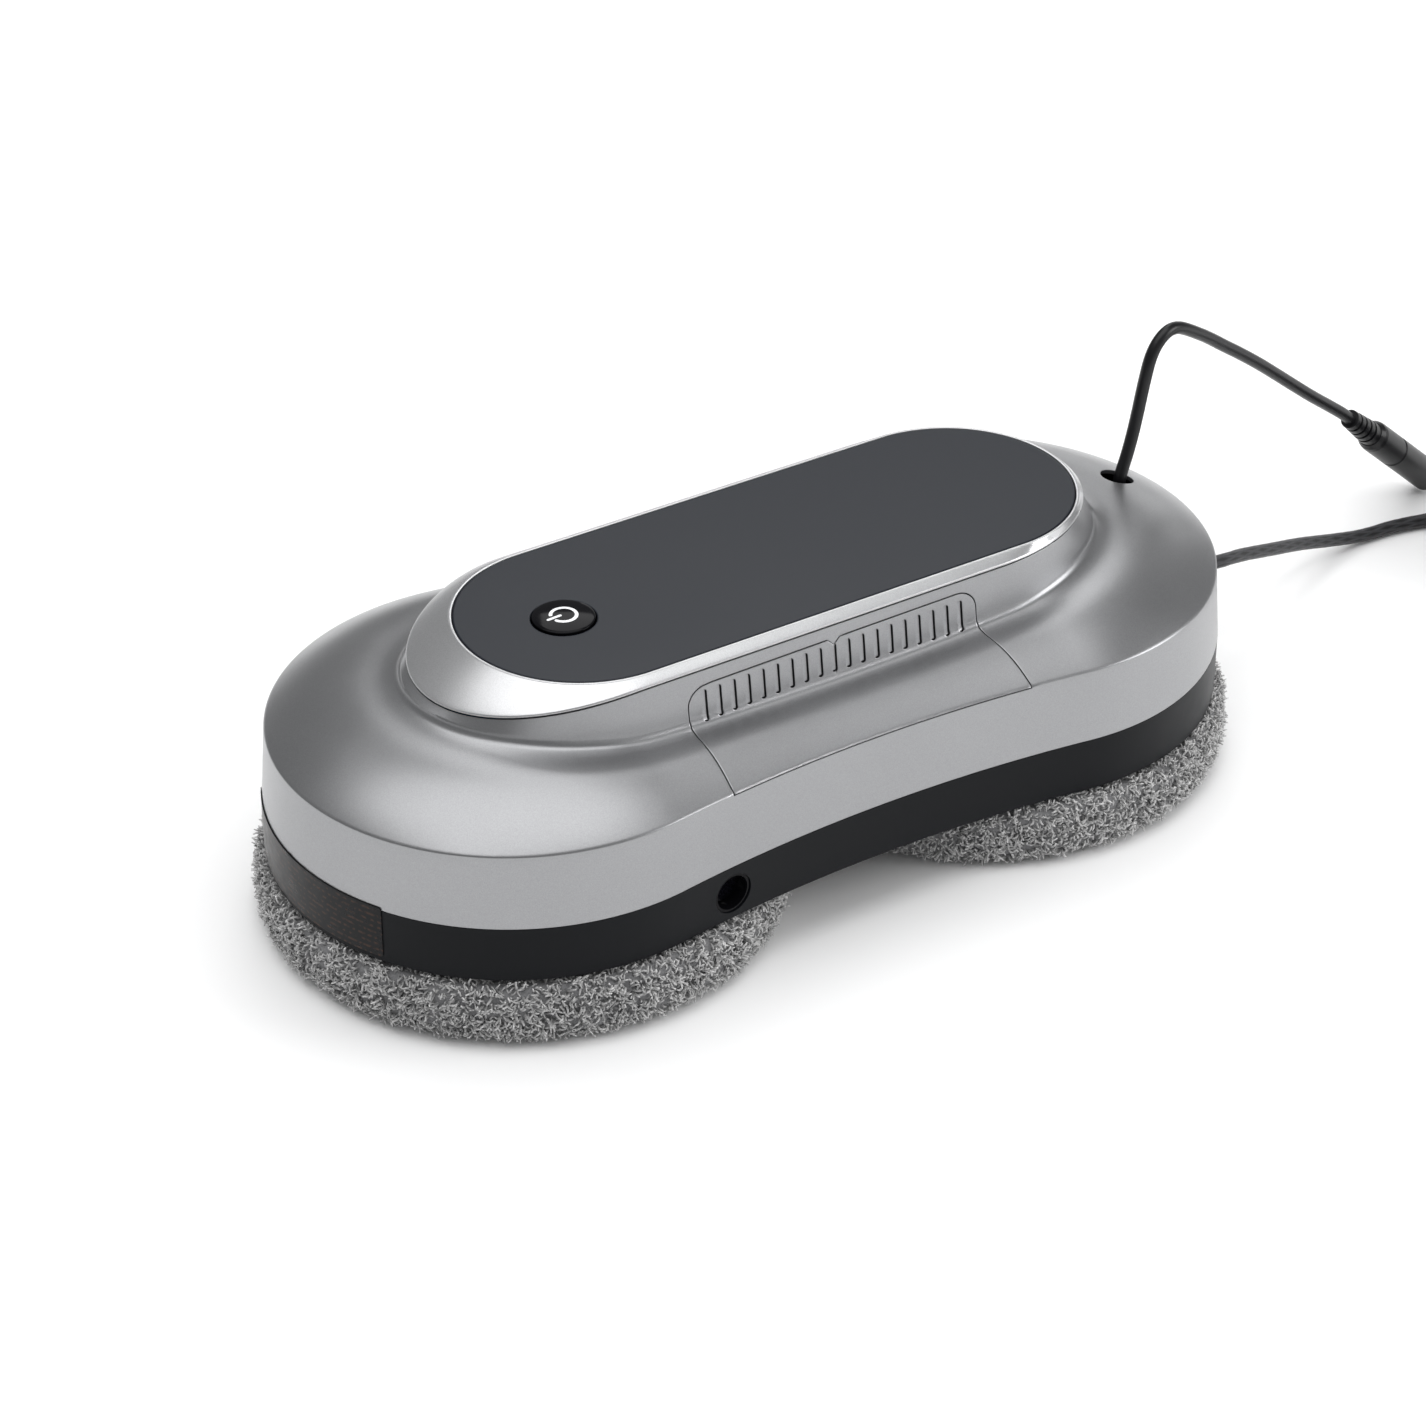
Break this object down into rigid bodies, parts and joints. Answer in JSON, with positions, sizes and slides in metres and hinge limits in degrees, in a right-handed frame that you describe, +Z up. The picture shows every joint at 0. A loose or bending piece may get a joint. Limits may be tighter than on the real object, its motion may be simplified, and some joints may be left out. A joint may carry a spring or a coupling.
{
  "type": "window cleaning robot",
  "caption": "Twin-disc window cleaning robot with a silver shell, dark glass top, power button, suction fan, fluffy round pads, power lead and safety rope.",
  "frame": {"origin": "on the surface the pads stand on, midway between the two discs", "axes": "+X along the machine towards the end where the power lead comes out, +Z up away from the cleaned surface"},
  "size_m": [0.4664, 0.1492, 0.1091],
  "materials": {
    "silver_shell": "satin metallic silver paint",
    "silver_bezel": "satin metallic silver paint, brighter",
    "dark_glass": "dark tinted, polished",
    "gloss_black": "polished black with a pale mark",
    "charcoal_case": "satin charcoal",
    "inner_plastic": "matte black",
    "white_plastic": "natural white",
    "black_rubber": "satin black",
    "rope": "braided",
    "pad_plush": "curly plush",
    "hook_fabric": "hook fastener",
    "felt": "felt",
    "label": "printed film",
    "sensor_window": "dark red",
    "steel": "plated",
    "motor_can": "zinc plated",
    "circuit_board": "solder mask",
    "brass_post": "turned",
    "bronze": "sintered",
    "cell_sleeve": "sleeved"
  },
  "bodies": {
    "machine": {"top_shell": "silver_shell", "vent_panel_front": "silver_shell", "vent_panel_back": "silver_shell", "bezel_ring": "silver_bezel", "glass_panel": "dark_glass", "button_guide": "inner_plastic", "tact_switch": "steel", "lower_case": "charcoal_case", "rating_label": "label", "sensor_housing": "inner_plastic", "sensor_lens": "sensor_window", "lead_gland": "black_rubber", "rope_anchor": "inner_plastic", "case_screws": "steel", "duct_cover": "white_plastic", "mid_frame": "inner_plastic", "fan_housing": "white_plastic", "fan_motor": "motor_can", "main_board": "circuit_board", "board_parts": "inner_plastic", "board_posts": "brass_post", "battery_cells": "cell_sleeve", "battery_holder": "inner_plastic", "power_board": "circuit_board", "power_parts": "inner_plastic", "motor_screws": "steel", "gear_axles": "steel", "left_bushing": "bronze", "left_seal": "felt", "left_motor": "motor_can", "right_bushing": "bronze", "right_seal": "felt", "right_motor": "motor_can", "power_lead": "black_rubber", "lead_strain_relief": "black_rubber", "dc_socket": "black_rubber", "safety_rope": "rope", "rope_coil": "rope", "rope_knot": "rope", "carabiner": "steel"},
    "left_disc_unit": {"left_output_gear": "white_plastic", "left_shaft": "steel", "left_disc": "charcoal_case", "left_hook_ring": "hook_fabric", "left_disc_screw": "steel", "left_pad": "pad_plush"},
    "left_middle_gear_unit": {"left_middle_gear": "white_plastic"},
    "left_motor_shaft": {"left_pinion": "steel"},
    "right_disc_unit": {"right_output_gear": "white_plastic", "right_shaft": "steel", "right_disc": "charcoal_case", "right_hook_ring": "hook_fabric", "right_disc_screw": "steel", "right_pad": "pad_plush"},
    "right_middle_gear_unit": {"right_middle_gear": "white_plastic"},
    "right_motor_shaft": {"right_pinion": "steel"},
    "fan_rotor": {"fan_wheel": "white_plastic"},
    "button": {"power_button": "gloss_black"},
    "hook_gate": {"carabiner_gate": "steel"}
  },
  "joints": [
    {"name": "left_disc_spin", "type": "hinge", "parent": "machine", "child": "left_disc_unit", "pos_m": [-0.0755, 0, 0.016], "axis": [0, 0, 1], "continuous": true},
    {"name": "left_middle_gear_spin", "type": "hinge", "parent": "machine", "child": "left_middle_gear_unit", "pos_m": [-0.0578, -0.03066, 0.037], "axis": [0, 0, 1], "continuous": true},
    {"name": "left_motor_spin", "type": "hinge", "parent": "machine", "child": "left_motor_shaft", "pos_m": [-0.04701, -0.00395, 0.05], "axis": [0, 0, 1], "continuous": true},
    {"name": "right_disc_spin", "type": "hinge", "parent": "machine", "child": "right_disc_unit", "pos_m": [0.0755, 0, 0.016], "axis": [0, 0, 1], "continuous": true},
    {"name": "right_middle_gear_spin", "type": "hinge", "parent": "machine", "child": "right_middle_gear_unit", "pos_m": [0.0578, 0.03066, 0.037], "axis": [0, 0, 1], "continuous": true},
    {"name": "right_motor_spin", "type": "hinge", "parent": "machine", "child": "right_motor_shaft", "pos_m": [0.04701, 0.00395, 0.05], "axis": [0, 0, 1], "continuous": true},
    {"name": "fan_spin", "type": "hinge", "parent": "machine", "child": "fan_rotor", "pos_m": [0, 0, 0.04], "axis": [0, 0, 1], "continuous": true},
    {"name": "button_press", "type": "slide", "parent": "machine", "child": "button", "axis": [0, 0, 1], "range_m": [-0.001, 0], "stiffness_N_per_m": 300},
    {"name": "carabiner_gate_swing", "type": "hinge", "parent": "machine", "child": "hook_gate", "pos_m": [0.268, -0.0295, 0.0262], "axis": [0, 0, 1], "range_deg": [0, 25], "stiffness_Nm_per_rad": 0.02}
  ],
  "couplings": [
    {"joint": "left_middle_gear_spin", "follows": "left_disc_spin", "ratio": -3.2143},
    {"joint": "left_motor_spin", "follows": "left_disc_spin", "ratio": 9.6429},
    {"joint": "right_middle_gear_spin", "follows": "right_disc_spin", "ratio": -3.2143},
    {"joint": "right_motor_spin", "follows": "right_disc_spin", "ratio": 9.6429}
  ]
}
